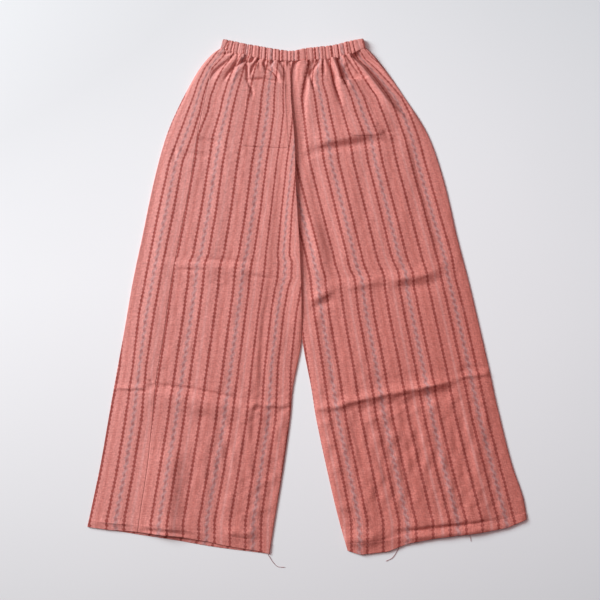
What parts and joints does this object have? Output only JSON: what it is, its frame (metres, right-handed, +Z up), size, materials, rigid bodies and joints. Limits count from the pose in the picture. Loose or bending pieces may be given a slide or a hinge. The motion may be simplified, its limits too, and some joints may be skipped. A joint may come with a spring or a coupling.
{
  "type": "palazzo pants",
  "caption": "Wide-leg pull-on trousers in striped woven cotton, laid flat with the back up: gathered elastic waistband, patch pockets and flared legs.",
  "frame": {"origin": "centre of the bounding box on the surface that the garment lies on", "axes": "+Y from the hems to the waist, +Z up from the surface, +X across towards the wearer's right leg"},
  "size_m": [0.825, 1.0002, 0.0076],
  "materials": {
    "striped_cotton": "matt plain weave in salmon pink with woven maroon and grey chain stripes",
    "waist_casing": "the same cloth gathered over a flat elastic"
  },
  "bodies": {
    "root": {"back_left": "striped_cotton", "back_right": "striped_cotton", "front_left": "striped_cotton", "front_right": "striped_cotton", "pocket_left": "striped_cotton", "pocket_right": "striped_cotton", "waistband": "waist_casing"}
  },
  "joints": []
}
